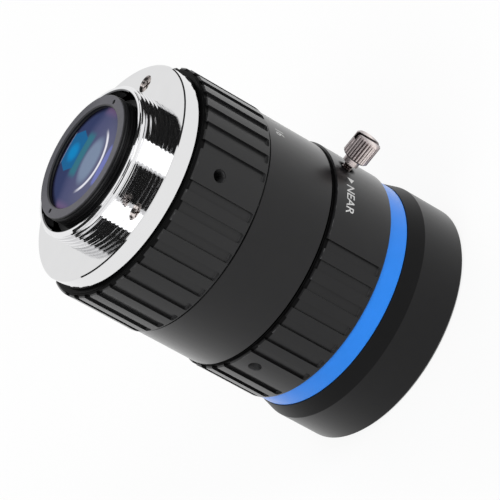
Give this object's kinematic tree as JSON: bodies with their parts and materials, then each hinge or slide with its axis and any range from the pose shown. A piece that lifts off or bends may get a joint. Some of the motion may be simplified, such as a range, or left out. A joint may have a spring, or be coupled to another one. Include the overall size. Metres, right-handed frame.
{
  "type": "c-mount machine vision lens",
  "caption": "Fixed focal length C-mount lens with chromed mount, grooved aperture and focus rings, blue band, flared hood, thumb lock screw and a working leaf iris.",
  "frame": {"origin": "centre of the flange face that seats on the camera", "axes": "+Z along the optical axis, out of the mount and towards the camera; the hood faces -Z; -Y is the side seen in the picture"},
  "size_m": [0.0442, 0.04, 0.0585],
  "materials": {
    "chrome": "polished chrome plating",
    "screw_steel": "bright steel",
    "black_anodised": "satin black anodised",
    "blue_anodised": "satin blue anodised",
    "nickel": "bright nickel plating",
    "black_inner": "matte black anodised",
    "cap_grey": "satin dark grey anodised",
    "blade_steel": "blackened spring steel",
    "brass": "machined brass",
    "glass": "coated optical glass"
  },
  "bodies": {
    "barrel": {"mount_flange": "chrome", "mount_screws": "screw_steel", "main_barrel": "black_anodised", "guide_screw": "screw_steel"},
    "aperture": {"aperture_ring": "black_anodised", "aperture_link_pin": "screw_steel"},
    "lens_block": {"lens_block_tube": "black_inner", "rear_cell": "black_inner", "rear_end_cap": "cap_grey", "rear_glass": "glass", "rear_spacer": "black_inner", "doublet_crown": "glass", "doublet_flint": "glass", "iris_housing": "black_inner", "third_glass": "glass", "middle_spacer": "black_inner", "second_glass": "glass", "front_spacer": "black_inner", "front_glass": "glass", "front_retaining_ring": "black_inner"},
    "iris_ring": {"iris_drive_ring": "brass"},
    "focus": {"focus_ring": "black_anodised", "accent_ring": "blue_anodised", "front_hood": "black_anodised"},
    "thumb_screw": {"focus_lock_screw": "nickel"},
    "blade_1": {"iris_blade_1": "blade_steel"},
    "blade_2": {"iris_blade_2": "blade_steel"},
    "blade_3": {"iris_blade_3": "blade_steel"},
    "blade_4": {"iris_blade_4": "blade_steel"},
    "blade_5": {"iris_blade_5": "blade_steel"},
    "blade_6": {"iris_blade_6": "blade_steel"}
  },
  "joints": [
    {"name": "aperture_turn", "type": "hinge", "parent": "barrel", "child": "aperture", "pos_m": [0, 0, -0.0092], "axis": [0, 0, 1], "range_deg": [-30, 26]},
    {"name": "focus_travel", "type": "slide", "parent": "barrel", "child": "lens_block", "axis": [0, 0, -1], "range_m": [0, 0.0024]},
    {"name": "focus_turn", "type": "hinge", "parent": "lens_block", "child": "focus", "pos_m": [0, 0, -0.0334], "axis": [0, 0, 1], "range_deg": [0, 230]},
    {"name": "thumb_screw_turn", "type": "hinge", "parent": "focus", "child": "thumb_screw", "pos_m": [0.0181, -0.00717, -0.0311], "axis": [0.9298, -0.3681, 0], "range_deg": [0, 360]},
    {"name": "iris_ring_turn", "type": "hinge", "parent": "lens_block", "child": "iris_ring", "pos_m": [0, 0, -0.0114], "axis": [0, 0, 1], "range_deg": [-31, 27]},
    {"name": "blade_1_turn", "type": "hinge", "parent": "lens_block", "child": "blade_1", "pos_m": [0.0083, 0, -0.0138], "axis": [0, 0, 1], "range_deg": [-15.5, 13.5]},
    {"name": "blade_2_turn", "type": "hinge", "parent": "lens_block", "child": "blade_2", "pos_m": [0.00415, 0.00719, -0.0138], "axis": [0, 0, 1], "range_deg": [-15.5, 13.5]},
    {"name": "blade_3_turn", "type": "hinge", "parent": "lens_block", "child": "blade_3", "pos_m": [-0.00415, 0.00719, -0.0138], "axis": [0, 0, 1], "range_deg": [-15.5, 13.5]},
    {"name": "blade_4_turn", "type": "hinge", "parent": "lens_block", "child": "blade_4", "pos_m": [-0.0083, 0, -0.0138], "axis": [0, 0, 1], "range_deg": [-15.5, 13.5]},
    {"name": "blade_5_turn", "type": "hinge", "parent": "lens_block", "child": "blade_5", "pos_m": [-0.00415, -0.00719, -0.0138], "axis": [0, 0, 1], "range_deg": [-15.5, 13.5]},
    {"name": "blade_6_turn", "type": "hinge", "parent": "lens_block", "child": "blade_6", "pos_m": [0.00415, -0.00719, -0.0138], "axis": [0, 0, 1], "range_deg": [-15.5, 13.5]}
  ],
  "couplings": [
    {"joint": "focus_travel", "follows": "focus_turn", "m_per_rad": 0.00059781},
    {"joint": "iris_ring_turn", "follows": "aperture_turn", "ratio": 1},
    {"joint": "blade_1_turn", "follows": "aperture_turn", "ratio": 0.5},
    {"joint": "blade_2_turn", "follows": "aperture_turn", "ratio": 0.5},
    {"joint": "blade_3_turn", "follows": "aperture_turn", "ratio": 0.5},
    {"joint": "blade_4_turn", "follows": "aperture_turn", "ratio": 0.5},
    {"joint": "blade_5_turn", "follows": "aperture_turn", "ratio": 0.5},
    {"joint": "blade_6_turn", "follows": "aperture_turn", "ratio": 0.5}
  ]
}
